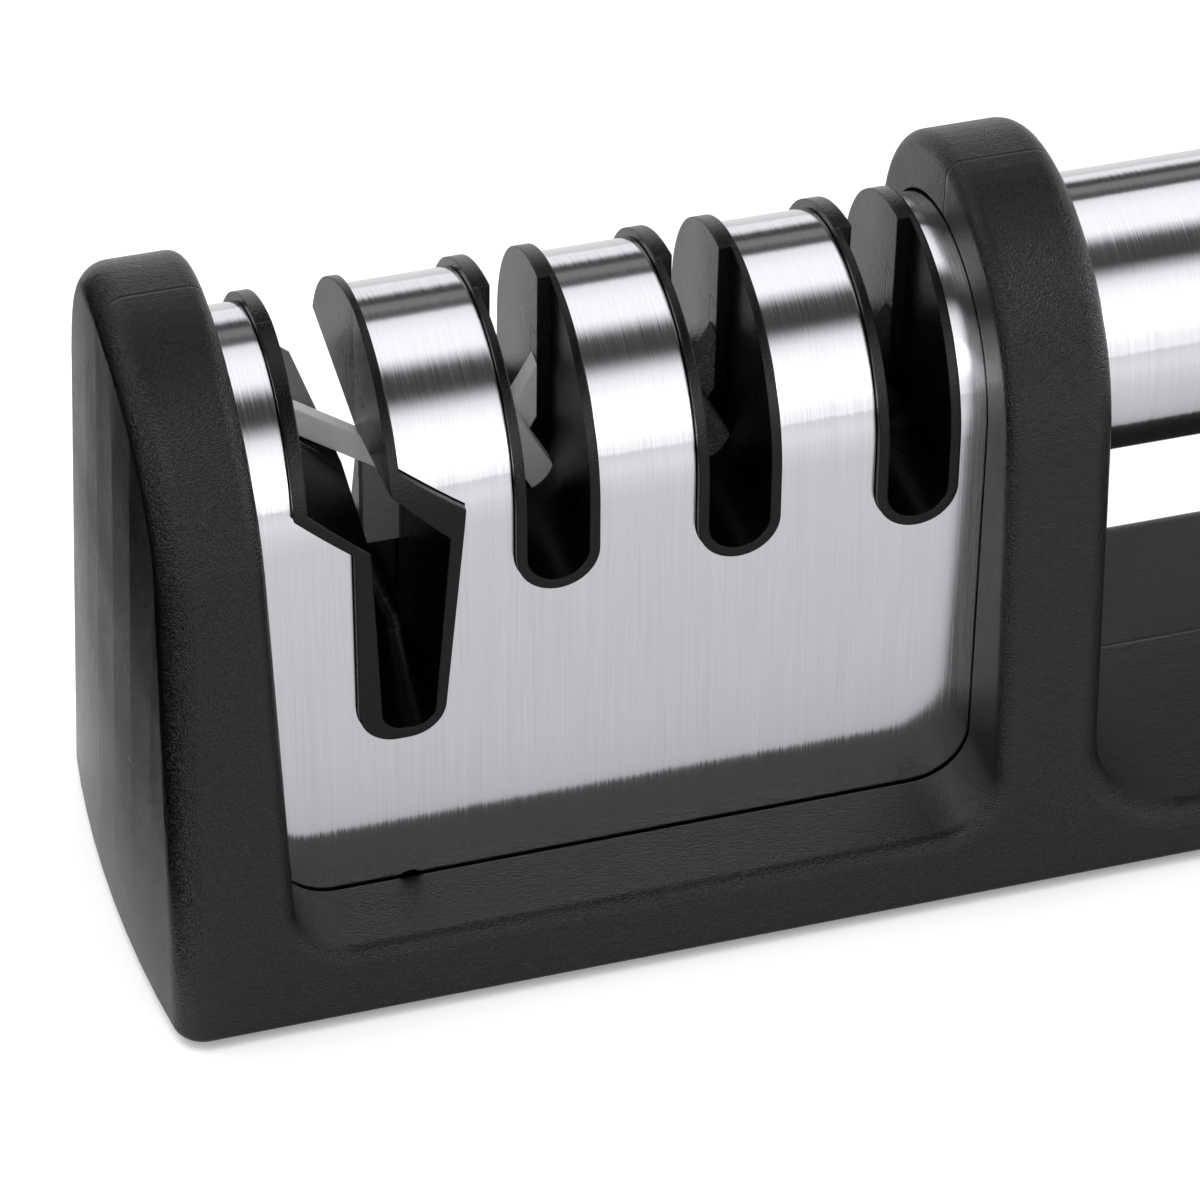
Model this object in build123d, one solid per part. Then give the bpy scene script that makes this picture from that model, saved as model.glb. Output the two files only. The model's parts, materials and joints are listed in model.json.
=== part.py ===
from build123d import *
import math
import os

os.makedirs("parts", exist_ok=True)

# Knife and scissors sharpener with a steel cover, four slots and a round steel handle.
# Millimetres. X runs along the length, the front faces -Y, +Z is up, and the feet stand on Z = 0.

# Overall frame
length = 200.0
front_depth = 26.8
rear_depth = 20.0
frame_top = 72.8
frame_bottom = 0.6
arch_radius = 22.0
rear_arch_radius = 18.5
end_lean = 2.8
end_bulge = 2.4
edge_round = 3.2
plan_spread_share = 1.5
overrun = 5.0

# Pillars and openings between them
end_pillar_top = 10.2
end_pillar_foot = 14.6
mid_pillar_from_left = 86.4
mid_pillar_width = 11.0
grip_from_right = 14.0
sill_height = 8.6
sill_round = 6.0
window_edge_round = 1.6
grip_edge_round = 2.4
base_edge_round = 1.0
straight_enough = 0.1
grip_floor = 6.6
grip_round = 10.0
grip_lean = 1.0

# Steel cover
cover_half_depth = 15.3
cover_top = 66.3
sheet = 0.6
cover_splay_share = 0.028
cover_tuck = 0.8
cover_bite = 2.0
cover_gap = 0.3
notch_radius = 1.5
notch_drop = 0.9
notch_from_left = 13.5

# Slots
slot_pitch = 18.1
first_slot = 25.0
slot_width = 8.5
slot_bottom = 42.3
rim_width = 1.3
rim_proud = 0.9
rim_gap = 0.12
waist = 0.6
scissor_left = -7.6
scissor_right = 9.2
scissor_mouth_left = -6.9
scissor_mouth_right = 3.1
scissor_step_high = 58.1
scissor_step_low = 55.3
scissor_shelf = 50.4
scissor_notch = 53.7
scissor_foot_left = -2.0
scissor_foot_right = 6.6
scissor_bottom = 27.1
scissor_foot_round = 3.9

# Middle of the scissors slot, where its walls close in on the blade
guide_mouth_left = -5.3
guide_step_left = -5.8
guide_mouth_right = 2.3
guide_step = 53.0
guide_right = 6.3
guide_right_height = 42.7
guide_foot_right = 6.2
guide_left = 0.9
guide_left_height = 48.7
guide_foot_left = 4.6
guide_foot_round = 0.6

# Inserts behind the steel
insert_gap = 0.15
insert_floor = 4.0
insert_wall = 2.4

# Abrasive pieces and their holders
holder_half_depth = 2.3
holder_gap = 0.05
holder_half_width = 7.2
holder_bottom = 33.0
holder_top = 60.0
bar_thick = 3.0
bar_depth = 2.1
bar_length = 22.0
bar_tilt = 28.0
bar_cross_height = 49.0
blade_thick = 2.2
blade_tilt = 30.0
lap_gap = 0.1
scissor_holder_half_width = 10.2
scissor_holder_floor = 3.0
scissor_half_depth = 0.8
scissor_bar_thick = 3.66
scissor_bar_left = -7.8
scissor_bar_left_height = 58.34
scissor_bar_right = 5.0
scissor_bar_right_height = 48.1
scissor_plate_left = 3.7
scissor_plate_right = 8.6
scissor_plate_foot = 31.0
scissor_plate_top = 52.0
scissor_plate_gap = 0.1

# Handle
handle_radius = 14.05
handle_axis_height = 51.9
handle_wall = 0.8
handle_bite = 2.4
handle_gap = 0.2

# Underside
plate_inset = 4.5
plate_thick = 2.0
plate_gap = 0.2
foot_length = 16.0
foot_width = 8.0
foot_thick = 1.6
foot_inset = 6.0
foot_gap = 0.05

# Screws
screw_radius = 1.4
screw_head_radius = 2.4
screw_head = 1.8
screw_gap = 0.15
frame_screw_low = 16.0
frame_screw_high = 58.0
frame_screw_seat = 9.0
frame_screw_reach = 9.0
base_screw_inset = 9.0
base_screw_reach = 4.5
base_screw_head = 0.9
insert_screw_height = 16.0
insert_screw_share = 0.25
insert_screw_seat = 8.0
insert_screw_reach = 8.0

half = length / 2
mid_pillar_left = mid_pillar_from_left - half
mid_pillar_right = mid_pillar_left + mid_pillar_width
grip_right = half - grip_from_right
cover_arch_height = cover_top - cover_half_depth
slot_centres = [first_slot - half + slot_pitch * k for k in range(4)]
tall = frame_top + overrun


def along_x(sketch_points_face, x_from, x_to):
    return extrude(Plane.YZ.offset(x_from) * sketch_points_face, x_to - x_from)


def along_y(face, y_from, y_to):
    # Plane.XZ looks along -Y, so the extrusion runs from y_to back to y_from
    return extrude(Plane.XZ.offset(-y_to) * face, y_to - y_from)


def tangent_point(foot, foot_height, radius, height):
    # Where the straight flank from the foot touches the arch of this radius
    run = math.hypot(foot, height - foot_height)
    to_centre = math.atan2(height - foot_height, foot)
    opening = math.acos(radius / run)
    angle = opening - to_centre
    return radius * math.cos(angle), height + radius * math.sin(angle)


def arch_face(front_foot, rear_foot, foot_height, front_radius, rear_radius, top):
    # Side profile: a foot, two straight flanks and an arch made of a front and a rear arc
    front_y, front_z = tangent_point(front_foot, foot_height, front_radius, top - front_radius)
    rear_y, rear_z = tangent_point(rear_foot, foot_height, rear_radius, top - rear_radius)
    crown = (0, top)
    middle = math.sqrt(0.5)
    front_mid = (-front_radius * middle, top - front_radius + front_radius * middle)
    rear_mid = (rear_radius * middle, top - rear_radius + rear_radius * middle)
    outline = [
        Line((-front_foot, foot_height), (-front_y, front_z)),
        ThreePointArc((-front_y, front_z), front_mid, crown),
        ThreePointArc(crown, rear_mid, (rear_y, rear_z)),
        Line((rear_y, rear_z), (rear_foot, foot_height)),
        Line((rear_foot, foot_height), (-front_foot, foot_height)),
    ]
    return make_face(outline)


def cover_profile(grow, floor):
    # Inverted U of the steel cover, grown or shrunk evenly: its sides splay a little towards the foot
    foot = cover_half_depth + grow + cover_splay_share * (cover_arch_height - floor)
    y, z = tangent_point(foot, floor, cover_half_depth + grow, cover_arch_height)
    outline = [
        Line((-foot, floor), (-y, z)),
        ThreePointArc((-y, z), (0, cover_top + grow), (y, z)),
        Line((y, z), (foot, floor)),
        Line((foot, floor), (-foot, floor)),
    ]
    return make_face(outline)


def box(x_from, x_to, y_from, y_to, z_from, z_to):
    size = (x_to - x_from, y_to - y_from, z_to - z_from)
    centre = ((x_from + x_to) / 2, (y_from + y_to) / 2, (z_from + z_to) / 2)
    return Pos(*centre) * Box(*size)


def rod_y(radius, x, z, y_from, y_to):
    return Pos(x, (y_from + y_to) / 2, z) * Rot(90, 0, 0) * Cylinder(radius, y_to - y_from)


def rod_x(radius, z, x_from, x_to):
    return Pos((x_from + x_to) / 2, 0, z) * Rot(0, 90, 0) * Cylinder(radius, x_to - x_from)


# Openings seen from the front
def window_face():
    # Opening that shows the steel cover, between the left and the middle pillar
    foot = -half + end_pillar_foot
    top = -half + end_lean + end_pillar_top
    opening = Polygon(
        (foot, sill_height), (mid_pillar_left, sill_height), (mid_pillar_left, tall), (top, tall), align=None
    )
    low = opening.vertices().sort_by(Axis.Y)[:2]
    return fillet(low, sill_round)


def grip_face():
    # Opening for the fingers, between the middle and the right pillar
    opening = Polygon(
        (mid_pillar_right, grip_floor),
        (grip_right - grip_lean, grip_floor),
        (grip_right + grip_lean, tall),
        (mid_pillar_right, tall),
        align=None,
    )
    low = opening.vertices().sort_by(Axis.Y)[:2]
    return fillet(low, grip_round)


# Envelope of the frame: side profile, with ends that lean in and bulge seen from above
def frame_envelope():
    side = along_x(arch_face(front_depth, rear_depth, frame_bottom, arch_radius, rear_arch_radius, frame_top),
                   -length, length)
    wide = front_depth * plan_spread_share
    inset = end_bulge * plan_spread_share ** 2
    plan = make_face([
        Line((-half + inset, -wide), (half - inset, -wide)),
        ThreePointArc((half - inset, -wide), (half, 0), (half - inset, wide)),
        Line((half - inset, wide), (-half + inset, wide)),
        ThreePointArc((-half + inset, wide), (-half, 0), (-half + inset, -wide)),
    ])
    lean = math.degrees(math.atan(end_lean / frame_top))
    return side & extrude(plan, tall, taper=lean)


def end_ridges(body):
    # The ridge where each end face meets the front, the top and the rear
    reach = half - end_lean - end_bulge - edge_round
    return [edge for edge in body.edges()
            if abs(edge.center().X) > reach and edge.center().Z > frame_bottom + edge_round]


def base_edges(body):
    return body.edges().filter_by_position(Axis.Z, frame_bottom, frame_bottom)


def opening_rim(body, left, right):
    # Closed loop where the walls of an opening meet the outside of the frame
    found = []
    for edge in body.edges():
        room = edge.bounding_box()
        inside = room.min.X > left - edge_round and room.max.X < right + edge_round
        runs_along_y = abs(room.size.Y - edge.length) < straight_enough
        if inside and room.min.Z > frame_bottom + base_edge_round and not runs_along_y:
            found.append(edge)
    return found


def frame_body():
    body = frame_envelope()
    body = fillet(end_ridges(body), edge_round)
    body = fillet(base_edges(body), base_edge_round)
    body -= along_y(window_face(), -front_depth - overrun, rear_depth + overrun)
    body -= along_y(grip_face(), -front_depth - overrun, rear_depth + overrun)
    body = fillet(opening_rim(body, -half + end_lean + end_pillar_top, mid_pillar_left), window_edge_round)
    body = fillet(opening_rim(body, mid_pillar_right, grip_right), grip_edge_round)
    # Pocket that the steel cover and the inserts stand in
    left = -half + end_lean + end_pillar_top - cover_bite
    right = mid_pillar_left + cover_bite
    body -= along_x(cover_profile(cover_gap, insert_floor - cover_gap), left - cover_gap, right + cover_gap)
    # Sockets for the ends of the handle
    body -= rod_x(handle_radius + handle_gap, handle_axis_height,
                  mid_pillar_right - handle_bite, grip_right + handle_bite)
    # Recess for the bottom plate
    body -= box(-half + plate_inset - plate_gap, half - plate_inset + plate_gap,
                -front_depth + plate_inset - plate_gap, rear_depth - plate_inset + plate_gap,
                0, frame_bottom + plate_thick + plate_gap)
    return body


def frame_screw_places():
    left = (-half + end_lean + cover_span()[0]) / 2
    right = (half - end_lean + grip_right + handle_bite) / 2
    middle = (cover_span()[1] + mid_pillar_right - handle_bite) / 2
    return [(x, z) for x in (left, middle, right) for z in (frame_screw_low, frame_screw_high)]


def base_screw_places():
    return [(x, y) for x in (-half + base_screw_inset, half - base_screw_inset)
            for y in (-front_depth / 2, rear_depth / 2)]


def insert_screw_places():
    aside = slot_pitch * insert_screw_share
    return [slot_centres[1] - aside, slot_centres[2] + aside]


def frames():
    body = frame_body()
    front = body & box(-length, length, -front_depth - overrun, 0, 0, tall)
    rear = body & box(-length, length, 0, rear_depth + overrun, 0, tall)
    for x, z in frame_screw_places():
        front -= rod_y(screw_radius, x, z, -frame_screw_reach, 0)
        rear -= rod_y(screw_radius + screw_gap, x, z, 0, rear_depth)
        rear -= rod_y(screw_head_radius + screw_gap, x, z, frame_screw_seat, rear_depth + overrun)
    for x, y in base_screw_places():
        hole = Pos(x, y, base_screw_reach) * Cylinder(screw_radius, base_screw_reach)
        front -= hole
        rear -= hole
    return front, rear


# Slot outlines seen from the front
def slot_face(shrink, top):
    # Round-bottomed slot for knives
    reach = slot_width / 2 - shrink
    low = slot_bottom + slot_width / 2
    outline = [
        Line((-reach, top), (-reach, low)),
        ThreePointArc((-reach, low), (0, low - reach), (reach, low)),
        Line((reach, low), (reach, top)),
        Line((reach, top), (-reach, top)),
    ]
    return make_face(outline)


def scissor_face(shrink, top):
    # Stepped slot for scissors: a mouth on the left that shifts to the right lower down
    outline = Polygon(
        (scissor_mouth_left, top),
        (scissor_left, scissor_step_low),
        (scissor_foot_left, scissor_shelf),
        (scissor_foot_left, scissor_bottom),
        (scissor_foot_right, scissor_bottom),
        (scissor_right, scissor_notch),
        (scissor_mouth_right, scissor_step_high),
        (scissor_mouth_right, top),
        align=None,
    )
    foot = outline.vertices().sort_by(Axis.Y)[:2]
    outline = fillet(foot, scissor_foot_round)
    if shrink:
        outline = offset(outline, -shrink, kind=Kind.INTERSECTION)
    return outline


def slot_cut(index, shrink, y_from, y_to):
    face = (scissor_face if index == 0 else slot_face)(shrink, tall)
    return Pos(slot_centres[index], 0, 0) * along_y(face, y_from, y_to)


def guide_face():
    # Outline of the scissors slot at the middle plane, corner for corner like the one at the faces
    outline = Polygon(
        (guide_mouth_left, tall),
        (guide_step_left, scissor_step_low),
        (guide_left, guide_left_height),
        (guide_foot_left, scissor_bottom + rim_width),
        (guide_foot_right, scissor_bottom + rim_width),
        (guide_right, guide_right_height),
        (guide_mouth_right, guide_step),
        (guide_mouth_right, tall),
        align=None,
    )
    foot = outline.vertices().sort_by(Axis.Y)[:2]
    return fillet(foot, guide_foot_round)


def scissor_channel(reach):
    # The walls run straight from the outline at each face to the one at the middle plane
    made = []
    for side in (-1, 1):
        outer = Plane(origin=(slot_centres[0], side * reach, 0), x_dir=(1, 0, 0), z_dir=(0, -1, 0))
        inner = Plane(origin=(slot_centres[0], 0, 0), x_dir=(1, 0, 0), z_dir=(0, -1, 0))
        ends = [outer * scissor_face(rim_width, tall), inner * guide_face()]
        made.append(loft(ends, ruled=True))
    return made


def waisted_channel(index):
    # Channel that narrows from both faces towards the middle plane
    reach = cover_half_depth + rim_proud + overrun
    if index == 0:
        return scissor_channel(reach)
    taper = math.degrees(math.atan(waist / reach))
    face = slot_face(rim_width, tall)
    centre = slot_centres[index]
    front = extrude(Plane(origin=(centre, -reach, 0), x_dir=(1, 0, 0), z_dir=(0, -1, 0)) * face, -reach, taper=-taper)
    rear = extrude(Plane(origin=(centre, reach, 0), x_dir=(1, 0, 0), z_dir=(0, -1, 0)) * face, reach, taper=taper)
    return front, rear


def cover_span():
    left = -half + end_lean + end_pillar_top - cover_bite
    return left, mid_pillar_left + cover_bite


def steel_cover():
    left, right = cover_span()
    floor = sill_height - cover_tuck
    body = along_x(cover_profile(0, floor), left, right)
    body -= along_x(cover_profile(-sheet, floor - overrun), left - overrun, right + overrun)
    for index in range(4):
        body -= slot_cut(index, 0, -front_depth, rear_depth)
    notch_x = -half + end_pillar_foot + notch_from_left
    body -= rod_y(notch_radius, notch_x, sill_height - notch_drop, -front_depth, rear_depth)
    return body


def inserts():
    left, right = cover_span()
    core = along_x(cover_profile(-sheet - insert_gap, insert_floor), left + insert_wall / 2, right - insert_wall / 2)
    rim_shell = along_x(cover_profile(rim_proud, insert_floor), left + insert_wall, right - insert_wall)
    for index in range(4):
        core += slot_cut(index, rim_gap, -front_depth, rear_depth) & rim_shell
    for index in range(4):
        front_channel, rear_channel = waisted_channel(index)
        core -= front_channel
        core -= rear_channel
        core -= holder_block(index, holder_gap)
    for x in insert_screw_places():
        core -= rod_y(screw_radius, x, insert_screw_height, -insert_screw_reach, insert_screw_seat)
        core -= rod_y(screw_head_radius + screw_gap, x, insert_screw_height, insert_screw_seat, rear_depth)
    front = core & box(-length, length, -front_depth, 0, 0, tall)
    rear = core & box(-length, length, 0, front_depth, 0, tall)
    return front, rear


# Holders and abrasive pieces
def holder_block(index, grow):
    reach = (scissor_holder_half_width if index == 0 else holder_half_width) + grow
    if index == 0:
        low = scissor_bottom - scissor_holder_floor - grow
    else:
        low = holder_bottom - grow
    centre = slot_centres[index]
    return box(centre - reach, centre + reach, -holder_half_depth - grow, holder_half_depth + grow,
               low, holder_top + grow)


def tilted_bar(x_low, z_low, x_high, z_high, thick, y_from, y_to):
    run = math.hypot(x_high - x_low, z_high - z_low)
    angle = math.degrees(math.atan2(x_high - x_low, z_high - z_low))
    centre = ((x_low + x_high) / 2, (y_from + y_to) / 2, (z_low + z_high) / 2)
    return Pos(*centre) * Rot(0, angle, 0) * Box(thick, y_to - y_from, run)


def crossed_bar(index, side, thick, tilt):
    # side is -1 for the bar whose top leans left and +1 for the one that leans right
    lean = math.radians(tilt)
    dx = side * math.sin(lean) * bar_length / 2
    dz = math.cos(lean) * bar_length / 2
    x = slot_centres[index]
    z = bar_cross_height
    if side < 0:
        y_from, y_to = -bar_depth - lap_gap / 2, -lap_gap / 2
    else:
        y_from, y_to = lap_gap / 2, bar_depth + lap_gap / 2
    return tilted_bar(x - dx, z - dz, x + dx, z + dz, thick, y_from, y_to)


def scissor_bar(grow=0):
    x = slot_centres[0]
    return tilted_bar(x + scissor_bar_left, scissor_bar_left_height, x + scissor_bar_right, scissor_bar_right_height,
                      scissor_bar_thick + grow, -scissor_half_depth, scissor_half_depth)


def scissor_plate():
    # Upright plate that stands under the bar, cut to the bar's slope
    x = slot_centres[0]
    plate = box(x + scissor_plate_left, x + scissor_plate_right, -scissor_half_depth, scissor_half_depth,
                scissor_plate_foot, scissor_plate_top)
    pieces = (plate - scissor_bar(scissor_plate_gap * 2)).solids()
    return pieces.sort_by(Axis.Z)[0]


def holder(index, pieces):
    block = holder_block(index, 0)
    front_channel, rear_channel = waisted_channel(index)
    block -= front_channel
    block -= rear_channel
    for piece in pieces:
        block -= piece
    return block


# Handle
def handle_sleeve():
    tube = rod_x(handle_radius, handle_axis_height, mid_pillar_right - handle_bite + handle_gap,
                 grip_right + handle_bite - handle_gap)
    return tube - rod_x(handle_radius - handle_wall, handle_axis_height, -length, length)


def handle_core():
    return rod_x(handle_radius - handle_wall, handle_axis_height, mid_pillar_right - handle_bite + handle_gap,
                 grip_right + handle_bite - handle_gap)


# Underside
def bottom_plate():
    plate = box(-half + plate_inset, half - plate_inset, -front_depth + plate_inset, rear_depth - plate_inset,
                frame_bottom, frame_bottom + plate_thick)
    for x, y in base_screw_places():
        plate -= Pos(x, y, frame_bottom) * Cylinder(screw_radius + screw_gap, plate_thick + overrun)
        plate -= Pos(x, y, frame_bottom) * Cylinder(screw_head_radius + screw_gap, base_screw_head * 2)
    for x, y in foot_places():
        plate -= foot_box(x, y, foot_gap)
    return plate


def foot_places():
    reach = half - plate_inset - foot_inset - foot_length
    return [(x, y) for x in (-reach, reach)
            for y in (-front_depth + plate_inset + foot_inset, rear_depth - plate_inset - foot_inset)]


def foot_box(x, y, grow):
    return box(x - foot_length / 2 - grow, x + foot_length / 2 + grow,
               y - foot_width / 2 - grow, y + foot_width / 2 + grow, 0, foot_thick + grow)


def rubber_feet():
    return Compound([foot_box(x, y, 0) for x, y in foot_places()])


# Screws
def screw_y(x, z, seat, reach):
    shank = rod_y(screw_radius, x, z, -reach, seat)
    head = rod_y(screw_head_radius, x, z, seat, seat + screw_head)
    return shank + head


def frame_screws():
    return Compound([screw_y(x, z, frame_screw_seat, frame_screw_reach - screw_gap)
                     for x, z in frame_screw_places()])


def insert_screws():
    return Compound([screw_y(x, insert_screw_height, insert_screw_seat, insert_screw_reach - screw_gap)
                     for x in insert_screw_places()])


def base_screws():
    made = []
    for x, y in base_screw_places():
        head_top = frame_bottom + base_screw_head
        head = Pos(x, y, (frame_bottom + head_top) / 2) * Cylinder(screw_head_radius, head_top - frame_bottom)
        tip = base_screw_reach
        shank = Pos(x, y, (head_top + tip) / 2) * Cylinder(screw_radius, tip - head_top)
        made.append(head + shank)
    return Compound(made)


front_frame, rear_frame = frames()
middle_y = (front_frame.bounding_box().min.Y + rear_frame.bounding_box().max.Y) / 2


def save(shape, name):
    # The halves part at Y = 0 while they are drawn, and the origin is under the middle of the whole
    placed = Pos(0, -middle_y, 0) * shape
    export_step(placed, f"parts/{name}.step")
    print(name, round(placed.volume, 1))


save(front_frame, "front_frame")
save(rear_frame, "rear_frame")
save(steel_cover(), "steel_cover")
slot_insert_front, slot_insert_rear = inserts()
save(slot_insert_front, "slot_insert_front")
save(slot_insert_rear, "slot_insert_rear")

scissor_pieces = [scissor_bar(), scissor_plate()]
save(scissor_pieces[0], "scissor_bar")
save(scissor_pieces[1], "scissor_plate")
save(holder(0, scissor_pieces), "scissor_holder")
for index, name, thick, tilt in (
    (1, "ceramic_bar", bar_thick, bar_tilt),
    (2, "diamond_bar", bar_thick, bar_tilt),
    (3, "carbide_blade", blade_thick, blade_tilt),
):
    pair = [crossed_bar(index, side, thick, tilt) for side in (-1, 1)]
    save(pair[0], f"{name}_left")
    save(pair[1], f"{name}_right")
    save(holder(index, pair), name.split("_")[0] + "_holder")

save(handle_sleeve(), "handle_sleeve")
save(handle_core(), "handle_core")
save(bottom_plate(), "bottom_plate")
save(rubber_feet(), "rubber_feet")
save(frame_screws(), "frame_screws")
save(insert_screws(), "insert_screws")
save(base_screws(), "base_screws")
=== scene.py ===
"""Looks of a knife and scissors sharpener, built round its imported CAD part."""

import json
import math

import bmesh
import bpy
from mathutils import Matrix, Vector


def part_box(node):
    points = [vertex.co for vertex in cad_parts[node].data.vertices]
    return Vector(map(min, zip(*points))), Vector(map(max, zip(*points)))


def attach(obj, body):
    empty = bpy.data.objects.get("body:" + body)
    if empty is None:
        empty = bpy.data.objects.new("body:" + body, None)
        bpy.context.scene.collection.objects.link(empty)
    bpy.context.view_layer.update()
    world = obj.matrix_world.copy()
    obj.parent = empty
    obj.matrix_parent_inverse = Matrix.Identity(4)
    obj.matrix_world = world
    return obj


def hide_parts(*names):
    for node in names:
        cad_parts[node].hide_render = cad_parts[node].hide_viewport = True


bl_info = {
    "name": "Sharpener finish",
    "version": (1, 0, 0),
    "blender": (4, 5, 0),
    "location": "3D View > Sidebar > Sharpener",
    "description": "Finishes, small details and stage of a pull through sharpener",
    "category": "Object",
}

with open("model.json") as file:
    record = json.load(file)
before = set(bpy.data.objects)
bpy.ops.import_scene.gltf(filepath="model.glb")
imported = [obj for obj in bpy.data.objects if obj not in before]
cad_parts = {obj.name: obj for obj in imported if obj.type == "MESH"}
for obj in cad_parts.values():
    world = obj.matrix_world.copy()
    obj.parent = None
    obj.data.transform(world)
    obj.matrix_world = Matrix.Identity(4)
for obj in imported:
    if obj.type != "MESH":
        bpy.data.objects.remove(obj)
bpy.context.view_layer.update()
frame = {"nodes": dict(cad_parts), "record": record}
nodes = frame["nodes"]
MM = 0.001

# Vertices of a CAD node closer than this are one
WELD = 0.002 * MM

# White floor, just under the feet
FLOOR_HALF = 6.0
FLOOR_DROP = 0.2 * MM
FLOOR_GREY = 0.92
FLOOR_GLOW = 0.15
# The floor as the steel mirrors it, painted with shade near the object, a lighter strip by its left
# end and a dark reflection further left: where each change begins and ends, and the greys there
PAINTED_SHADE_Y, PAINTED_SHADE_GREYS = (-0.06, -0.2), (0.64, 0.82)
PAINTED_LIGHT_X, PAINTED_LIGHT_GREY = (-0.092, -0.1), 0.95
DARK_REFLECTION_X = (-0.1035, -0.109)
DARK_REFLECTION_FAR_X, DARK_REFLECTION_GREYS = (-0.4, -0.7), (0.0, 0.3)

# A little over half a tube of cloth, whose light and dark strips make the bands on the steel
TENT_RADIUS = 1.6
TENT_REACH = 4.0
TENT_ARC = 100
TENT_STEPS = 96
# The strips turn a little along the tent: X at both ends of the drift, and the degrees there
DRIFT_X = (-0.3, 0.6)
DRIFT_DEGREES = (-15.0, 10.2)
# Degrees from straight up towards the front, and brightness as a share of the overhead light
TENT_STOPS = (
    (-100, 0.3), (-73, 0.3), (-66, 0.02), (-60, 0.02), (-57, 0.07), (-50, 0.07),
    (-47, 0.035), (-41, 0.025), (-39, 0.32), (-30, 0.35), (-24, 0.38), (-4, 0.39),
    (7, 0.018), (26, 0.018), (38, 0.34), (46, 0.39), (56, 0.43), (62, 0.95),
    (72, 0.95), (80, 0.42), (86, 0.36), (100, 0.34),
)
# The mirrored room past the ends of the tent, and the bright cards on both sides
ROOM_GREY = 0.06
CARD_SIZE = 0.8
CARD_CORE = 0.4

# Screws: heights of the two kinds of head, and the rest as shares of the head or the shank
CONE_SIDES = 40
PAN_HEAD = 1.8 * MM
SUNK_HEAD = 0.9 * MM
RIM_SHARE = 0.55
DOME_SHARE = 0.45
TOP_SHARE = 0.72
RECESS_SHARE = 0.4
SHANK_SHARE = 1.4 / 2.4
THREAD_ROOT = 0.78

# Ribs of the feet, as shares of their pitch, of the pad and of the rib
RIB_WIDTH = 0.5
RIB_LENGTH = 0.84
RIB_CORNER = 0.45
RIB_SINK = 1.1

# The drawn scissors pieces differ from the ends of the CAD ones by this much
BAR_INSET = 1.6 * MM
BAR_DROP = 0.2 * MM
PLATE_REACH = 1.0 * MM


# Node helpers
def add_node(tree, kind, **values):
    node = tree.nodes.new(kind)
    for name, value in values.items():
        setattr(node, name, value)
    return node


def feed(tree, socket, value):
    # A socket takes another node's output or a constant
    if isinstance(value, bpy.types.NodeSocket):
        tree.links.new(value, socket)
    else:
        socket.default_value = value


def maths(tree, operation, first, second=0.0, clamp=False):
    node = add_node(tree, "ShaderNodeMath", operation=operation, use_clamp=clamp)
    feed(tree, node.inputs[0], first)
    feed(tree, node.inputs[1], second)
    return node.outputs[0]


def noise(tree, place, scale, detail=3.0, roughness=0.5):
    node = add_node(tree, "ShaderNodeTexNoise")
    feed(tree, node.inputs["Vector"], place)
    feed(tree, node.inputs["Scale"], scale)
    feed(tree, node.inputs["Detail"], detail)
    feed(tree, node.inputs["Roughness"], roughness)
    return node.outputs["Fac"]


def spread(tree, value, low, high, to_low=0.0, to_high=1.0):
    node = add_node(tree, "ShaderNodeMapRange")
    names = ("Value", "From Min", "From Max", "To Min", "To Max")
    for name, given in zip(names, (value, low, high, to_low, to_high)):
        feed(tree, node.inputs[name], given)
    return node.outputs["Result"]


def vector_maths(tree, operation, *terms, result="Vector"):
    node = add_node(tree, "ShaderNodeVectorMath", operation=operation)
    for socket, term in zip(node.inputs, terms):
        feed(tree, socket, term)
    return node.outputs[result]


def object_place(tree):
    return add_node(tree, "ShaderNodeTexCoord").outputs["Object"]


def split(tree, place):
    node = add_node(tree, "ShaderNodeSeparateXYZ")
    feed(tree, node.inputs[0], place)
    return node.outputs


def mixed(tree, share, first, second):
    node = add_node(tree, "ShaderNodeMix", data_type="RGBA")
    feed(tree, node.inputs["Factor"], share)
    feed(tree, node.inputs[6], first)
    feed(tree, node.inputs[7], second)
    return node.outputs[2]


def new_group(name, inputs, outputs):
    group = bpy.data.node_groups.new(name, "ShaderNodeTree")
    for label, kind, default in inputs:
        socket = group.interface.new_socket(name=label, in_out="INPUT", socket_type=kind)
        if default is not None:
            socket.default_value = default
    for label, kind in outputs:
        group.interface.new_socket(name=label, in_out="OUTPUT", socket_type=kind)
    return group, add_node(group, "NodeGroupInput"), add_node(group, "NodeGroupOutput")


def use_group(tree, name, **values):
    node = add_node(tree, "ShaderNodeGroup", node_tree=bpy.data.node_groups[name])
    for label, value in values.items():
        feed(tree, node.inputs[label.replace("_", " ")], value)
    return node


def grey(value):
    return (value, value, value, 1.0)


# Scene helpers
def new_object(name, data):
    thing = bpy.data.objects.new(name, data)
    bpy.context.scene.collection.objects.link(thing)
    return thing


def square_mesh(name, half):
    mesh = bpy.data.meshes.new(name)
    corners = [(-half, -half, 0), (half, -half, 0), (half, half, 0), (-half, half, 0)]
    mesh.from_pydata(corners, [], [(0, 1, 2, 3)])
    return mesh


def aim(thing, place, target, front):
    # Puts a thing somewhere with its front axis towards a target
    thing.location = place
    thing.rotation_mode = "QUATERNION"
    thing.rotation_quaternion = (Vector(target) - Vector(place)).to_track_quat(front, "Y")


def only_mirrored(thing):
    # Mirrored light finds it, and no other ray does
    for ray in ("camera", "diffuse", "shadow", "transmission"):
        setattr(thing, "visible_" + ray, False)


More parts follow.
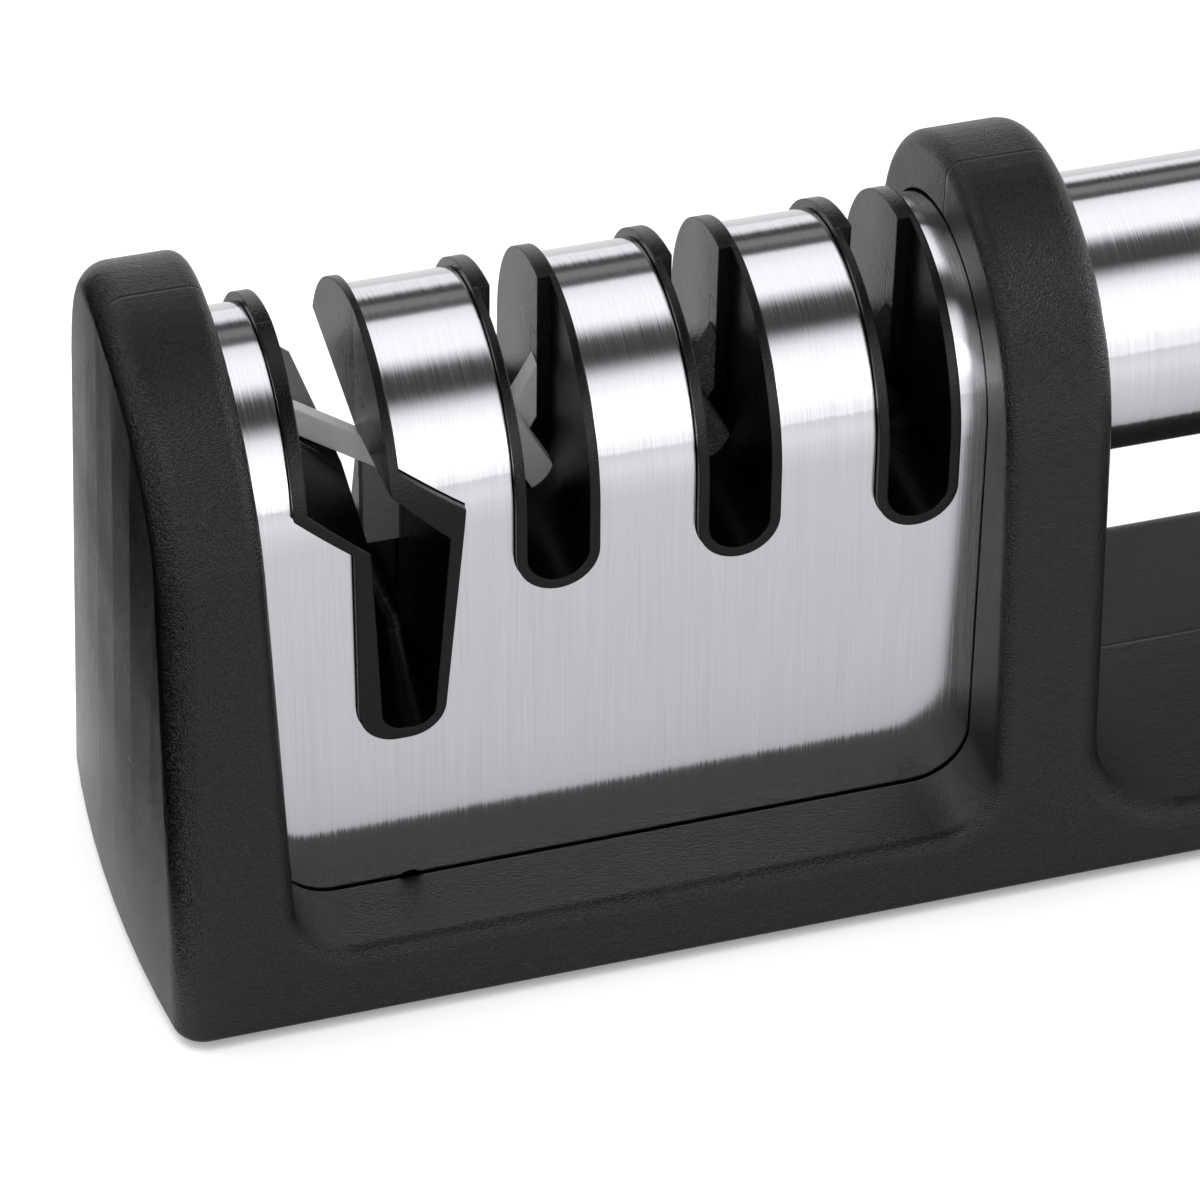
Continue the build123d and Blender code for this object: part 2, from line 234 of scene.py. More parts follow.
# Geometry node helpers
def new_builder(name, inputs):
    # A geometry node tree that takes a mesh and named inputs and gives geometry
    tree = bpy.data.node_groups.new(name, "GeometryNodeTree")
    tree.interface.new_socket(name="Geometry", in_out="INPUT", socket_type="NodeSocketGeometry")
    for label, kind, default in inputs:
        socket = tree.interface.new_socket(name=label, in_out="INPUT", socket_type=kind)
        if default is not None:
            socket.default_value = default
    tree.interface.new_socket(name="Geometry", in_out="OUTPUT", socket_type="NodeSocketGeometry")
    return tree, add_node(tree, "NodeGroupInput"), add_node(tree, "NodeGroupOutput")


def moved(tree, geometry, place=(0.0, 0.0, 0.0), turn=(0.0, 0.0, 0.0)):
    node = add_node(tree, "GeometryNodeTransform")
    feed(tree, node.inputs["Geometry"], geometry)
    feed(tree, node.inputs["Translation"], place)
    feed(tree, node.inputs["Rotation"], turn)
    return node.outputs["Geometry"]


def vector(tree, x=0.0, y=0.0, z=0.0):
    node = add_node(tree, "ShaderNodeCombineXYZ")
    for socket, value in zip(node.inputs, (x, y, z)):
        feed(tree, socket, value)
    return node.outputs["Vector"]


def joined(tree, *parts):
    node = add_node(tree, "GeometryNodeJoinGeometry")
    for part in parts:
        tree.links.new(part, node.inputs["Geometry"])
    return node.outputs["Geometry"]


def cone(tree, low_radius, high_radius, height):
    node = add_node(tree, "GeometryNodeMeshCone")
    node.inputs["Vertices"].default_value = CONE_SIDES
    feed(tree, node.inputs["Radius Bottom"], low_radius)
    feed(tree, node.inputs["Radius Top"], high_radius)
    feed(tree, node.inputs["Depth"], height)
    return node.outputs["Mesh"]


def rounded_block(tree, length, width, radius, height):
    # A rectangle with round corners, filled and raised
    outline = add_node(tree, "GeometryNodeCurvePrimitiveQuadrilateral")
    feed(tree, outline.inputs["Width"], length)
    feed(tree, outline.inputs["Height"], width)
    corners = add_node(tree, "GeometryNodeFilletCurve", mode="POLY")
    feed(tree, corners.inputs["Curve"], outline.outputs["Curve"])
    corners.inputs["Count"].default_value = 5
    feed(tree, corners.inputs["Radius"], radius)
    filled = add_node(tree, "GeometryNodeFillCurve", mode="NGONS")
    feed(tree, filled.inputs["Curve"], corners.outputs["Curve"])
    raised = add_node(tree, "GeometryNodeExtrudeMesh", mode="FACES")
    feed(tree, raised.inputs["Mesh"], filled.outputs["Mesh"])
    feed(tree, raised.inputs["Offset"], (0.0, 0.0, 1.0))
    feed(tree, raised.inputs["Offset Scale"], height)
    floor = add_node(tree, "GeometryNodeFlipFaces")
    feed(tree, floor.inputs["Mesh"], filled.outputs["Mesh"])
    return joined(tree, raised.outputs["Mesh"], floor.outputs["Mesh"])


def set_out(tree, points, instance, rotation, scale=(1.0, 1.0, 1.0)):
    node = add_node(tree, "GeometryNodeInstanceOnPoints")
    feed(tree, node.inputs["Points"], points)
    feed(tree, node.inputs["Instance"], instance)
    feed(tree, node.inputs["Rotation"], rotation)
    feed(tree, node.inputs["Scale"], scale)
    realized = add_node(tree, "GeometryNodeRealizeInstances")
    feed(tree, realized.inputs["Geometry"], node.outputs["Instances"])
    return realized.outputs["Geometry"]


def painted(tree, geometry, material):
    node = add_node(tree, "GeometryNodeSetMaterial")
    feed(tree, node.inputs["Geometry"], geometry)
    feed(tree, node.inputs["Material"], material)
    return node.outputs["Geometry"]


def grown(name, mesh, tree, values):
    # Runs a geometry node tree on a mesh and keeps what it makes as a plain mesh
    maker = new_object(name, mesh)
    modifier = maker.modifiers.new("builder", "NODES")
    modifier.node_group = tree
    for item in tree.interface.items_tree:
        if item.item_type == "SOCKET" and item.in_out == "INPUT" and item.name in values:
            modifier[item.identifier] = values[item.name]
    graph = bpy.context.evaluated_depsgraph_get()
    made = bpy.data.meshes.new_from_object(maker.evaluated_get(graph), depsgraph=graph)
    maker.modifiers.clear()
    maker.data = made
    if len(made.polygons) == 0:
        raise RuntimeError(name + " came out empty")
    return maker


def points_mesh(name, places):
    mesh = bpy.data.meshes.new(name)
    mesh.from_pydata([tuple(place) for place in places], [], [])
    return mesh


def island_boxes(node):
    # Lowest and highest corner of each separate solid of a CAD node
    build = bmesh.new()
    build.from_mesh(nodes[node].data)
    bmesh.ops.remove_doubles(build, verts=build.verts, dist=WELD)
    left = set(build.verts)
    boxes = []
    while left:
        queue = [left.pop()]
        island = list(queue)
        while queue:
            for edge in queue.pop().link_edges:
                for vert in edge.verts:
                    if vert in left:
                        left.remove(vert)
                        queue.append(vert)
                        island.append(vert)
        low, high = (
            Vector([pick(vert.co[k] for vert in island) for k in range(3)]) for pick in (min, max)
        )
        boxes.append((low, high))
    build.free()
    return boxes


# Effects that several finishes share
def make_moulded_grain():
    # Leather-like grain of a moulded shell: small rounded cells with fine creases between them
    group, given, result = new_group(
        "moulded_grain",
        [("Cells", "NodeSocketFloat", 1500.0), ("Depth", "NodeSocketFloat", 0.5)],
        [("Height", "NodeSocketFloat"), ("Shade", "NodeSocketFloat")],
    )
    place = object_place(group)
    cells = add_node(group, "ShaderNodeTexVoronoi", feature="SMOOTH_F1")
    feed(group, cells.inputs["Vector"], place)
    feed(group, cells.inputs["Scale"], given.outputs["Cells"])
    feed(group, cells.inputs["Smoothness"], 0.6)
    fine = noise(group, place, maths(group, "MULTIPLY", given.outputs["Cells"], 1.7), 2.0)
    hollow = maths(group, "MULTIPLY", cells.outputs["Distance"], -1.0)
    height = maths(group, "ADD", hollow, maths(group, "MULTIPLY", fine, 0.5))
    feed(group, result.inputs["Height"], maths(group, "MULTIPLY", height, given.outputs["Depth"]))
    feed(group, result.inputs["Shade"], noise(group, place, 60.0, 4.0))


def make_brushing():
    # Fine parallel scratches of brushed sheet: the factors say how close they lie along each axis
    group, given, result = new_group(
        "brushing",
        [
            ("Factors", "NodeSocketVector", None),
            ("Depth", "NodeSocketFloat", 0.5),
            ("Tip", "NodeSocketFloat", 0.1),
        ],
        [
            ("Height", "NodeSocketFloat"), ("Shade", "NodeSocketFloat"),
            ("Cloud", "NodeSocketFloat"), ("Normal", "NodeSocketVector"),
        ],
    )
    place = object_place(group)
    along = vector_maths(group, "MULTIPLY", place, given.outputs["Factors"])
    lines = noise(group, along, 1.0, 6.0, 0.65)
    wide = noise(group, along, 0.23, 3.0, 0.5)
    both = maths(group, "ADD",
                 maths(group, "MULTIPLY", lines, 0.88), maths(group, "MULTIPLY", wide, 0.12))
    feed(group, result.inputs["Height"], maths(group, "MULTIPLY", both, given.outputs["Depth"]))
    feed(group, result.inputs["Shade"], both)
    feed(group, result.inputs["Cloud"], noise(group, place, 35.0, 3.0))
    # Each streak tips its surface a little, which frays the edges of mirrored light
    facing = add_node(group, "ShaderNodeNewGeometry").outputs["Normal"]
    across = vector_maths(group, "CROSS_PRODUCT", facing, (1.0, 0.0, 0.0))
    tip = maths(group, "MULTIPLY", maths(group, "SUBTRACT", lines, 0.5), given.outputs["Tip"])
    lean = add_node(group, "ShaderNodeVectorMath", operation="SCALE")
    feed(group, lean.inputs[0], across)
    feed(group, lean.inputs["Scale"], tip)
    tipped = vector_maths(group, "ADD", facing, lean.outputs["Vector"])
    feed(group, result.inputs["Normal"], vector_maths(group, "NORMALIZE", tipped))


def make_soft_edges():
    # Rounded look along sharp edges, and a mask of where those edges are
    group, given, result = new_group(
        "soft_edges",
        [("Radius", "NodeSocketFloat", 0.4 * MM)],
        [("Normal", "NodeSocketVector"), ("Edge", "NodeSocketFloat")],
    )
    bevel = add_node(group, "ShaderNodeBevel", samples=4)
    feed(group, bevel.inputs["Radius"], given.outputs["Radius"])
    plain = add_node(group, "ShaderNodeNewGeometry").outputs["Normal"]
    same = vector_maths(group, "DOT_PRODUCT", bevel.outputs["Normal"], plain, result="Value")
    feed(group, result.inputs["Normal"], bevel.outputs["Normal"])
    feed(group, result.inputs["Edge"], spread(group, same, 1.0, 0.8))


def make_parting_line():
    # Fine groove where the two halves of the frame meet: a height and a mask
    group, given, result = new_group(
        "parting_line",
        [("Place", "NodeSocketFloat", 0.0), ("Width", "NodeSocketFloat", 0.2 * MM)],
        [("Height", "NodeSocketFloat"), ("Line", "NodeSocketFloat")],
    )
    depth = split(group, object_place(group))["Y"]
    away = maths(group, "ABSOLUTE", maths(group, "SUBTRACT", depth, given.outputs["Place"]))
    share = maths(group, "DIVIDE", away, given.outputs["Width"], clamp=True)
    feed(group, result.inputs["Height"], share)
    feed(group, result.inputs["Line"], maths(group, "SUBTRACT", 1.0, share))


# Materials
def new_material(name):
    material = bpy.data.materials.new(name)
    material.use_nodes = True
    tree = material.node_tree
    return material, tree, tree.nodes["Principled BSDF"]


def bumped(tree, height, strength, distance, normal):
    bump = add_node(tree, "ShaderNodeBump")
    feed(tree, bump.inputs["Height"], height)
    feed(tree, bump.inputs["Strength"], strength)
    feed(tree, bump.inputs["Distance"], distance)
    feed(tree, bump.inputs["Normal"], normal)
    return bump.outputs["Normal"]


def moulded_plastic(name, dark, light, roughness, cells, strength, radius, parted=False,
                    shine=0.4):
    # Black or grey plastic with a random grain tone, and a painted highlight that makes it a little
    # lighter along its edges
    material, tree, shader = new_material(name)
    grain = use_group(tree, "moulded_grain", Cells=cells, Depth=1.0)
    edges = use_group(tree, "soft_edges", Radius=radius)
    # Painted highlight: the soft edge mask lightens the base colour along edges
    painted_edge_highlight = maths(tree, "MULTIPLY", edges.outputs["Edge"], 0.5)
    grain_and_painted_highlight = maths(tree, "ADD", grain.outputs["Shade"], painted_edge_highlight)
    tone = mixed(tree, spread(tree, grain_and_painted_highlight, 0.3, 1.2), dark, light)
    normal = bumped(tree, grain.outputs["Height"], strength, 0.25 * MM, edges.outputs["Normal"])
    if parted:
        line = use_group(tree, "parting_line", Place=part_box("front_frame")[1].y, Width=0.28 * MM)
        tone = mixed(tree, line.outputs["Line"], tone, grey(0.001))
        normal = bumped(tree, line.outputs["Height"], 1.0, 0.12 * MM, normal)
    feed(tree, shader.inputs["Base Color"], tone)
    rough = spread(tree, grain.outputs["Shade"], 0.2, 0.8, roughness - 0.05, roughness + 0.05)
    feed(tree, shader.inputs["Roughness"], rough)
    shader.inputs["Specular IOR Level"].default_value = shine
    feed(tree, shader.inputs["Normal"], normal)
    return material


def brushed_steel(name, factors, tint, roughness, strength, tip=0.05):
    # Metal whose highlights run round the length of the object
    material, tree, shader = new_material(name)
    lines = use_group(tree, "brushing", Factors=factors, Depth=1.0, Tip=tip)
    shade = spread(tree, lines.outputs["Shade"], 0.35, 0.65)
    dark = tuple(channel * 0.88 for channel in tint[:3]) + (1.0,)
    feed(tree, shader.inputs["Base Color"], mixed(tree, shade, dark, tint))
    feed(tree, shader.inputs["Metallic"], 1.0)
    streaks = spread(tree, lines.outputs["Shade"], 0.2, 0.8, roughness - 0.06, roughness + 0.06)
    clouds = spread(tree, lines.outputs["Cloud"], 0.3, 0.7, -0.015, 0.015)
    feed(tree, shader.inputs["Roughness"], maths(tree, "ADD", streaks, clouds))
    normal = bumped(tree, lines.outputs["Height"], strength, 0.02 * MM, lines.outputs["Normal"])
    feed(tree, shader.inputs["Normal"], normal)
    shader.inputs["Anisotropic"].default_value = 0.85
    shader.inputs["Anisotropic Rotation"].default_value = 0.25
    around = add_node(tree, "ShaderNodeTangent", direction_type="RADIAL", axis="X")
    feed(tree, shader.inputs["Tangent"], around.outputs["Tangent"])
    return material


def ceramic(name, dark, light, roughness):
    # Fine matt grain with faint marks across the length of the stick
    material, tree, shader = new_material(name)
    place = object_place(tree)
    fine = noise(tree, place, 9000.0, 2.0)
    marks = noise(tree, vector_maths(tree, "MULTIPLY", place, (300.0, 300.0, 2500.0)), 1.0, 3.0)
    tone = mixed(tree, spread(tree, marks, 0.35, 0.75), light, dark)
    feed(tree, shader.inputs["Base Color"], tone)
    rough = spread(tree, fine, 0.3, 0.7, roughness, roughness + 0.15)
    feed(tree, shader.inputs["Roughness"], rough)
    edges = use_group(tree, "soft_edges", Radius=0.3 * MM)
    feed(tree, shader.inputs["Normal"], bumped(tree, fine, 0.3, 0.03 * MM, edges.outputs["Normal"]))
    return material


def grit_coat(name):
    # Half metallic coat with a coarse sparkle
    material, tree, shader = new_material(name)
    fine = noise(tree, object_place(tree), 6000.0, 4.0, 0.7)
    tone = mixed(tree, spread(tree, fine, 0.45, 0.7), grey(0.05), grey(0.3))
    feed(tree, shader.inputs["Base Color"], tone)
    feed(tree, shader.inputs["Metallic"], 0.7)
    feed(tree, shader.inputs["Roughness"], spread(tree, fine, 0.3, 0.7, 0.25, 0.6))
    edges = use_group(tree, "soft_edges", Radius=0.3 * MM)
    feed(tree, shader.inputs["Normal"], bumped(tree, fine, 0.8, 0.12 * MM, edges.outputs["Normal"]))
    return material


def make_materials():
    make_moulded_grain()
    make_brushing()
    make_soft_edges()
    make_parting_line()
    look = bpy.context.scene.sharpener_finish
    lilac = tuple(look.steel_colour) + (1.0,)
    matt = {
        "dark": grey(0.008), "light": grey(0.014), "roughness": 0.5,
        "cells": 900.0, "strength": 0.3, "radius": 0.4 * MM,
    }
    sheet = {"factors": (7000.0, 60.0, 60.0), "tint": lilac, "roughness": 0.13, "strength": 0.2}
    # One finish for each material slot of the record
    return {
        "frame_plastic": moulded_plastic(
            "grained_shell", grey(look.shell_shade), grey(look.shell_shade * 1.8), roughness=0.24,
            cells=5600.0, strength=0.5, radius=0.3 * MM, parted=True, shine=0.27,
        ),
        "plate_plastic": moulded_plastic("base_plate", **matt),
        "core_plastic": moulded_plastic("handle_filling", **matt),
        "insert_plastic": moulded_plastic(
            "slot_moulding", grey(0.0008), grey(0.0016), roughness=0.26,
            cells=4600.0, strength=0.15, radius=0.3 * MM, shine=0.2,
        ),
        "foot_rubber": moulded_plastic(
            "foot_rubber", grey(0.012), grey(0.02), roughness=0.75,
            cells=2600.0, strength=0.5, radius=0.5 * MM,
        ),
        "cover_steel": brushed_steel("cover_steel", **sheet),
        "handle_steel": brushed_steel("handle_steel", **sheet),
        "screw_steel": brushed_steel(
            "screw_steel", (900.0, 900.0, 900.0), grey(0.6), roughness=0.3, strength=0.2, tip=0.02,
        ),
        "carbide": brushed_steel(
            "carbide", (300.0, 3000.0, 300.0), grey(0.22), roughness=0.32, strength=0.3, tip=0.02,
        ),
        "white_ceramic": ceramic("white_ceramic", grey(0.66), grey(0.72), roughness=0.5),
        "grey_ceramic": ceramic("grey_ceramic", grey(0.15), grey(0.18), roughness=0.45),
        "diamond_grit": grit_coat("diamond_coat"),
    }


# Sizes and colours that a user would change
class SharpenerFinish(bpy.types.PropertyGroup):
    steel_colour: bpy.props.FloatVectorProperty(
        name="Steel colour", description="Tint of the cover and the handle", subtype="COLOR",
        size=3, min=0.0, max=1.0, default=(0.66, 0.65, 0.68),
    )
    shell_shade: bpy.props.FloatProperty(
        name="Shell shade", description="Grey level of the frame halves",
        min=0.0, max=1.0, default=0.0006,
    )
    backdrop: bpy.props.FloatProperty(
        name="Backdrop", description="Brightness of the white surroundings",
        min=0.0, max=10.0, default=1.0,
    )
    tent_brightness: bpy.props.FloatProperty(
        name="Tent brightness", description="Brightness of the white that the steel mirrors",
        min=0.0, max=10.0, default=4.0,
    )
    card_brightness: bpy.props.FloatProperty(
        name="Card brightness", description="Brightness of the cards left and right",
        min=0.0, max=50.0, default=11.0,
    )


class PhotoCamera(bpy.types.PropertyGroup):
    position: bpy.props.FloatVectorProperty(
        name="Position", description="Where the camera stands", subtype="TRANSLATION",
        unit="LENGTH", size=3, default=(-0.16784, -0.3933, 0.37601),
    )
    azimuth: bpy.props.FloatProperty(
        name="Azimuth", description="Turn round the object, in degrees", default=-16.84,
    )
    elevation: bpy.props.FloatProperty(
        name="Elevation", description="Tilt above the horizon, in degrees", default=40.23,
    )
    roll: bpy.props.FloatProperty(
        name="Roll", description="Turn about the line of sight, in degrees", default=0.96,
    )
    lens: bpy.props.FloatProperty(
        name="Lens", description="Focal length in millimetres", min=1.0, default=162.0,
    )


class SHARPENER_OT_finishes(bpy.types.Operator):
    """Give every CAD node its finish"""

    bl_idname = "sharpener.finishes"
    bl_label = "Finishes"

    def execute(self, context):
        materials = make_materials()
        for row in frame["record"]["subparts"]:
            mesh = nodes[row["node"]].data
            mesh.materials.clear()
            mesh.materials.append(materials[row["material_slot"]])
        return {"FINISHED"}


# Pieces that repeat
def screw_builder():
    # A pan head with a cross recess over a threaded shank, set out on points and then turned
    tree, given, result = new_builder("cross_screws", [
        ("Head Radius", "NodeSocketFloat", 2.4 * MM),
        ("Head Height", "NodeSocketFloat", PAN_HEAD),
        ("Shank Radius", "NodeSocketFloat", 1.4 * MM),
        ("Shank Length", "NodeSocketFloat", 8.0 * MM),
        ("Thread Pitch", "NodeSocketFloat", 0.8 * MM),
        ("Recess Width", "NodeSocketFloat", 0.7 * MM),
        ("Recess Depth", "NodeSocketFloat", 0.7 * MM),
        ("Turn", "NodeSocketVector", None),
        ("Seed", "NodeSocketInt", 3),
        ("Material", "NodeSocketMaterial", None),
    ])
    value = given.outputs
    rim = maths(tree, "MULTIPLY", value["Head Height"], RIM_SHARE)
    dome = maths(tree, "MULTIPLY", value["Head Height"], DOME_SHARE)
    down = maths(tree, "MULTIPLY", value["Head Height"], -1.0)
    disc = cone(tree, value["Head Radius"], value["Head Radius"], rim)
    low = moved(tree, disc, vector(tree, z=down))
    narrow = maths(tree, "MULTIPLY", value["Head Radius"], TOP_SHARE)
    start = maths(tree, "MULTIPLY", dome, -1.0)
    high = moved(tree, cone(tree, value["Head Radius"], narrow, dome), vector(tree, z=start))
    # Two crossed bars cut the recess
    reach = maths(tree, "MULTIPLY", value["Head Radius"], 1.1)
    depth = maths(tree, "MULTIPLY", value["Recess Depth"], 2.0)
    cut = add_node(tree, "GeometryNodeMeshBoolean", operation="DIFFERENCE", solver="EXACT")
    feed(tree, cut.inputs["Mesh 1"], high)
    for turn in (0.0, math.pi / 2):
        bar = add_node(tree, "GeometryNodeMeshCube")
        feed(tree, bar.inputs["Size"], vector(tree, reach, value["Recess Width"], depth))
        turned_bar = moved(tree, bar.outputs["Mesh"], turn=(0.0, 0.0, turn))
        tree.links.new(turned_bar, cut.inputs["Mesh 2"])
    # The thread is a row of short double cones
    ridge = maths(tree, "MULTIPLY", value["Thread Pitch"], 0.5)
    root = maths(tree, "MULTIPLY", value["Shank Radius"], THREAD_ROOT)
    lower = cone(tree, root, value["Shank Radius"], ridge)
    upper = moved(tree, cone(tree, value["Shank Radius"], root, ridge), vector(tree, z=ridge))
    turns = add_node(tree, "GeometryNodeMeshLine", mode="OFFSET")
    length = maths(tree, "SUBTRACT", value["Shank Length"], value["Head Height"])
    feed(tree, turns.inputs["Count"], maths(tree, "DIVIDE", length, value["Thread Pitch"]))
    bottom = maths(tree, "MULTIPLY", value["Shank Length"], -1.0)
    feed(tree, turns.inputs["Start Location"], vector(tree, z=bottom))
    feed(tree, turns.inputs["Offset"], vector(tree, z=value["Thread Pitch"]))
    thread = set_out(tree, turns.outputs["Mesh"], joined(tree, lower, upper), (0.0, 0.0, 0.0))
    screw = joined(tree, low, cut.outputs["Mesh"], thread)
    spin = add_node(tree, "FunctionNodeRandomValue", data_type="FLOAT")
    feed(tree, spin.inputs["Seed"], value["Seed"])
    spin.inputs[3].default_value = math.pi / 2
    # Each screw stops at its own angle before all are turned to face outwards
    own = add_node(tree, "FunctionNodeEulerToRotation")
    feed(tree, own.inputs["Euler"], vector(tree, z=spin.outputs[1]))
    outwards = add_node(tree, "FunctionNodeEulerToRotation")
    feed(tree, outwards.inputs["Euler"], value["Turn"])
    turned = add_node(tree, "FunctionNodeRotateRotation", rotation_space="LOCAL")
    feed(tree, turned.inputs["Rotation"], outwards.outputs["Rotation"])
    feed(tree, turned.inputs["Rotate By"], own.outputs["Rotation"])
    row = set_out(tree, value["Geometry"], screw, turned.outputs["Rotation"])
    feed(tree, result.inputs["Geometry"], painted(tree, row, value["Material"]))
    return tree


def foot_builder():
    # A pad with round corners and a row of ribs across its sole, set out on points
    tree, given, result = new_builder("ribbed_feet", [
        ("Pad Length", "NodeSocketFloat", 16.0 * MM), ("Pad Width", "NodeSocketFloat", 8.0 * MM),
        ("Pad Height", "NodeSocketFloat", 1.6 * MM), ("Corner", "NodeSocketFloat", 1.2 * MM),
        ("Rib Count", "NodeSocketInt", 9), ("Rib Height", "NodeSocketFloat", 0.4 * MM),
        ("Material", "NodeSocketMaterial", None),
    ])
    value = given.outputs
    body = maths(tree, "SUBTRACT", value["Pad Height"], value["Rib Height"])
    pad = rounded_block(tree, value["Pad Length"], value["Pad Width"], value["Corner"], body)
    pad = moved(tree, pad, vector(tree, z=value["Rib Height"]))
    corners = maths(tree, "MULTIPLY", value["Corner"], 2.0)
    span = maths(tree, "SUBTRACT", value["Pad Length"], corners)
    pitch = maths(tree, "DIVIDE", span, maths(tree, "SUBTRACT", value["Rib Count"], 1.0))
    rib_width = maths(tree, "MULTIPLY", pitch, RIB_WIDTH)
    rib_length = maths(tree, "MULTIPLY", value["Pad Width"], RIB_LENGTH)
    rib_corner = maths(tree, "MULTIPLY", rib_width, RIB_CORNER)
    # Each rib goes a little into the pad
    rib_height = maths(tree, "MULTIPLY", value["Rib Height"], RIB_SINK)
    rib = rounded_block(tree, rib_width, rib_length, rib_corner, rib_height)
    line = add_node(tree, "GeometryNodeMeshLine", mode="OFFSET")
    feed(tree, line.inputs["Count"], value["Rib Count"])
    feed(tree, line.inputs["Start Location"], vector(tree, x=maths(tree, "MULTIPLY", span, -0.5)))
    feed(tree, line.inputs["Offset"], vector(tree, x=pitch))
    ribs = set_out(tree, line.outputs["Mesh"], rib, (0.0, 0.0, 0.0))
    row = set_out(tree, value["Geometry"], joined(tree, pad, ribs), (0.0, 0.0, 0.0))
    feed(tree, result.inputs["Geometry"], painted(tree, row, value["Material"]))
    return tree


def grit_builder():
    # Small angular grains scattered over the skin of a mesh
    tree, given, result = new_builder("grit_grains", [
        ("Density", "NodeSocketFloat", 9.0e6), ("Grain Radius", "NodeSocketFloat", 0.06 * MM),
        ("Seed", "NodeSocketInt", 11), ("Material", "NodeSocketMaterial", None),
    ])
    value = given.outputs
    scatter = add_node(tree, "GeometryNodeDistributePointsOnFaces", distribute_method="RANDOM")
    feed(tree, scatter.inputs["Mesh"], value["Geometry"])
    feed(tree, scatter.inputs["Density"], value["Density"])
    feed(tree, scatter.inputs["Seed"], value["Seed"])
    ball = add_node(tree, "GeometryNodeMeshIcoSphere")
    ball.inputs["Subdivisions"].default_value = 1
    feed(tree, ball.inputs["Radius"], value["Grain Radius"])
    turn = add_node(tree, "FunctionNodeRandomValue", data_type="FLOAT_VECTOR")
    turn.inputs[1].default_value = (math.tau, math.tau, math.tau)
    feed(tree, turn.inputs["Seed"], value["Seed"])
    facing = add_node(tree, "FunctionNodeEulerToRotation")
    feed(tree, facing.inputs["Euler"], turn.outputs[0])
    stretch = add_node(tree, "FunctionNodeRandomValue", data_type="FLOAT_VECTOR")
    stretch.inputs[0].default_value = (0.45, 0.45, 0.45)
    stretch.inputs[1].default_value = (1.1, 1.1, 1.1)
    feed(tree, stretch.inputs["Seed"], maths(tree, "ADD", value["Seed"], 1.0))
    grains = set_out(tree, scatter.outputs["Points"], ball.outputs["Mesh"],
                     facing.outputs["Rotation"], stretch.outputs[0])
    feed(tree, result.inputs["Geometry"], painted(tree, grains, value["Material"]))
    return tree


def slot_material(node):
    # The finish that a CAD node of the record already wears
    return nodes[node].data.materials[0]


class ScrewSizes(bpy.types.PropertyGroup):
    thread_pitch: bpy.props.FloatProperty(
        name="Thread pitch", description="Distance from one turn of the thread to the next",
        min=0.1 * MM, default=0.8 * MM, unit="LENGTH",
    )
    recess_width: bpy.props.FloatProperty(
        name="Recess width", description="Width of each arm of the cross in the head",
        min=0.1 * MM, default=0.7 * MM, unit="LENGTH",
    )
    seed: bpy.props.IntProperty(
        name="Screw seed", description="Chooses the angle at which each screw stops", default=3,
    )


class FootSizes(bpy.types.PropertyGroup):
    rib_count: bpy.props.IntProperty(
        name="Ribs per foot", description="Ribs across each rubber foot", min=2, default=9,
    )
    rib_height: bpy.props.FloatProperty(
        name="Rib height", description="How far the ribs stand out of the sole",
        min=0.0, default=0.4 * MM, unit="LENGTH",
    )


class GritSizes(bpy.types.PropertyGroup):
    density: bpy.props.FloatProperty(
        name="Grains per mm\u00b2", description="Diamond grains on each square millimetre",
        min=0.1, default=9.0,
    )
    grain_radius: bpy.props.FloatProperty(
        name="Grain radius", description="Radius of the ball that the grains are shaped from",
        min=0.001 * MM, default=0.06 * MM, unit="LENGTH",
    )
    seed: bpy.props.IntProperty(
        name="Grit seed", description="Chooses where the grains lie", default=11,
    )


class ScissorSizes(bpy.types.PropertyGroup):
    bar_slope: bpy.props.FloatProperty(
        name="Bar slope", description="Fall of the scissors bar for each step to the right",
        min=0.0, default=0.73,
    )
    bar_thickness: bpy.props.FloatProperty(
        name="Bar thickness", description="Thickness of the scissors bar",
        min=0.1 * MM, default=2.6 * MM, unit="LENGTH",
    )
    plate_foot: bpy.props.FloatProperty(
        name="Plate foot", description="Height of the lower end of the scissors plate",
        default=38.7 * MM, unit="LENGTH",
    )
    edge: bpy.props.FloatProperty(
        name="Edge", description="Width of the worn edges of bar and plate",
        min=0.001 * MM, default=0.1 * MM, unit="LENGTH",
    )


def cut_plate(name, outline, y_low, y_high, edge, material):
    # Flat piece with that outline seen from the front, its edges broken
    mesh = bpy.data.meshes.new(name)
    build = bmesh.new()
    face = build.faces.new([build.verts.new((x, y_low, z)) for x, z in outline])
    raised = bmesh.ops.extrude_face_region(build, geom=[face])["geom"]
    back = [item for item in raised if isinstance(item, bmesh.types.BMVert)]
    bmesh.ops.translate(build, vec=(0, y_high - y_low, 0), verts=back)
    bmesh.ops.recalc_face_normals(build, faces=build.faces)
    edges = list(build.edges)
    bmesh.ops.bevel(build, geom=edges, offset=edge, segments=2, profile=0.5, affect="EDGES")
    build.to_mesh(mesh)
    build.free()
    mesh.materials.append(material)
    return new_object(name, mesh)


